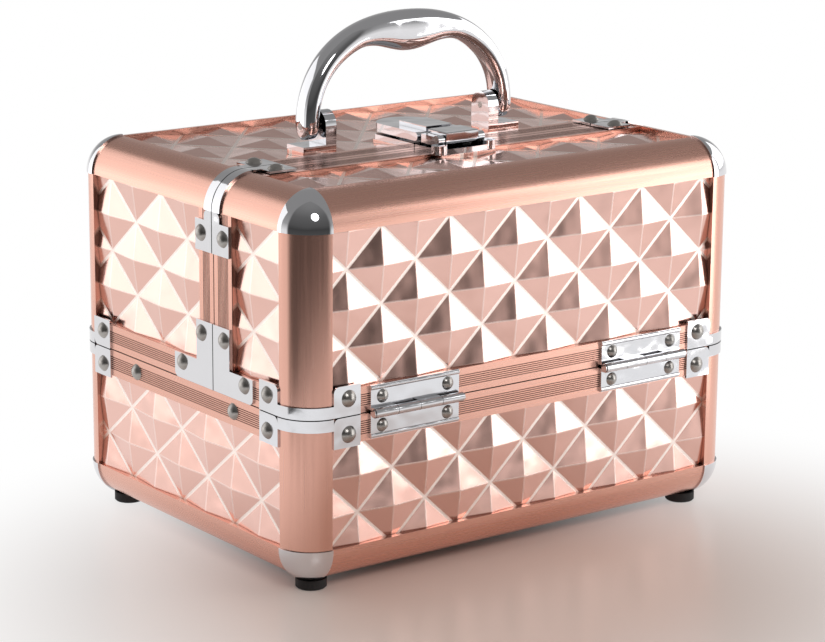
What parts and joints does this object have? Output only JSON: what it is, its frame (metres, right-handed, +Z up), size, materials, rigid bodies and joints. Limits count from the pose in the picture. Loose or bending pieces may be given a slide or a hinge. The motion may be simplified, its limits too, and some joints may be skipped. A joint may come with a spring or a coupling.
{
  "type": "makeup storage case with handle",
  "caption": "Small train case with an aluminium frame, embossed panels, two lids that hinge half-way up, cantilever trays, a catch and a carrying handle.",
  "frame": {"origin": "on the ground, under the middle of the closed case", "axes": "+X along the length, -Y the front face, +Z up"},
  "size_m": [0.246, 0.1902, 0.2294],
  "materials": {
    "anodised_profile": "satin rose gold anodising",
    "embossed_film": "glossy rose gold film pressed into blunt pyramids",
    "chrome_fitting": "polished",
    "rivet_steel": "dull nickel plate",
    "foot_rubber": "matt black",
    "lining_card": "black brushed lining",
    "tray_plastic": "matt black moulding",
    "base_board": "black board"
  },
  "bodies": {
    "base": {"base_corner_posts": "anodised_profile", "base_edge_profiles": "anodised_profile", "base_rims": "anodised_profile", "base_front_panel": "embossed_film", "base_back_panel": "embossed_film", "base_end_panels": "embossed_film", "base_floor_board": "base_board", "base_linings": "lining_card", "base_corner_caps": "chrome_fitting", "feet": "foot_rubber", "base_seam_brackets": "chrome_fitting", "base_hinge_leaves": "chrome_fitting", "hinge_pins": "rivet_steel", "base_rivets": "rivet_steel", "base_arm_studs": "rivet_steel"},
    "front_lid": {"front_lid_corner_posts": "anodised_profile", "front_lid_edge_profiles": "anodised_profile", "front_lid_rims": "anodised_profile", "front_lid_split_profiles": "anodised_profile", "front_lid_face_panel": "embossed_film", "front_lid_end_panels": "embossed_film", "front_lid_top_panel": "embossed_film", "front_lid_linings": "lining_card", "front_lid_corner_caps": "chrome_fitting", "front_lid_seam_brackets": "chrome_fitting", "front_lid_split_straps": "chrome_fitting", "front_lid_foot_brackets": "chrome_fitting", "front_lid_hinge_leaves": "chrome_fitting", "front_lid_rivets": "rivet_steel", "front_lid_tray_studs": "rivet_steel", "latch_keeper": "chrome_fitting", "latch_claw_pin": "rivet_steel"},
    "back_lid": {"back_lid_corner_posts": "anodised_profile", "back_lid_edge_profiles": "anodised_profile", "back_lid_rims": "anodised_profile", "back_lid_split_profiles": "anodised_profile", "back_lid_face_panel": "embossed_film", "back_lid_end_panels": "embossed_film", "back_lid_top_panel": "embossed_film", "back_lid_linings": "lining_card", "back_lid_corner_caps": "chrome_fitting", "back_lid_seam_brackets": "chrome_fitting", "back_lid_split_straps": "chrome_fitting", "back_lid_foot_brackets": "chrome_fitting", "back_lid_hinge_leaves": "chrome_fitting", "back_lid_rivets": "rivet_steel", "back_lid_tray_studs": "rivet_steel", "handle_brackets": "chrome_fitting", "handle_pins": "rivet_steel", "latch_base": "chrome_fitting", "latch_lever_pin": "rivet_steel"},
    "front_tray": {"front_tray": "tray_plastic", "front_tray_dividers": "tray_plastic"},
    "back_tray": {"back_tray": "tray_plastic", "back_tray_dividers": "tray_plastic"},
    "front_arms": {"front_tray_arms": "rivet_steel"},
    "back_arms": {"back_tray_arms": "rivet_steel"},
    "handle": {"handle": "chrome_fitting"},
    "latch_lever": {"latch_lever": "chrome_fitting"},
    "latch_claw": {"latch_claw": "chrome_fitting"}
  },
  "joints": [
    {"name": "front_lid_hinge", "type": "hinge", "parent": "base", "child": "front_lid", "pos_m": [0, -0.093, 0.077], "axis": [1, 0, 0], "range_deg": [0, 100]},
    {"name": "back_lid_hinge", "type": "hinge", "parent": "base", "child": "back_lid", "pos_m": [0, 0.093, 0.077], "axis": [-1, 0, 0], "range_deg": [0, 100]},
    {"name": "front_tray_pivot", "type": "hinge", "parent": "front_lid", "child": "front_tray", "pos_m": [0, -0.064, 0.101], "axis": [1, 0, 0], "range_deg": [-100, 0]},
    {"name": "back_tray_pivot", "type": "hinge", "parent": "back_lid", "child": "back_tray", "pos_m": [0, 0.064, 0.101], "axis": [-1, 0, 0], "range_deg": [-100, 0]},
    {"name": "front_arm_pivot", "type": "hinge", "parent": "base", "child": "front_arms", "pos_m": [0, -0.039, 0.071], "axis": [1, 0, 0], "range_deg": [0, 100]},
    {"name": "back_arm_pivot", "type": "hinge", "parent": "base", "child": "back_arms", "pos_m": [0, 0.039, 0.071], "axis": [-1, 0, 0], "range_deg": [0, 100]},
    {"name": "handle_pivot", "type": "hinge", "parent": "back_lid", "child": "handle", "pos_m": [0, 0.0017, 0.1806], "axis": [-1, 0, 0], "range_deg": [-78, 90]},
    {"name": "latch_lever_pivot", "type": "hinge", "parent": "back_lid", "child": "latch_lever", "pos_m": [0, -0.0226, 0.1752], "axis": [1, 0, 0], "range_deg": [0, 90]},
    {"name": "latch_claw_pivot", "type": "hinge", "parent": "front_lid", "child": "latch_claw", "pos_m": [0, -0.0376, 0.1755], "axis": [1, 0, 0], "range_deg": [0, 90]}
  ],
  "couplings": [
    {"joint": "front_tray_pivot", "follows": "front_lid_hinge", "ratio": -1},
    {"joint": "back_tray_pivot", "follows": "back_lid_hinge", "ratio": -1},
    {"joint": "front_arm_pivot", "follows": "front_lid_hinge", "ratio": 1},
    {"joint": "back_arm_pivot", "follows": "back_lid_hinge", "ratio": 1}
  ]
}
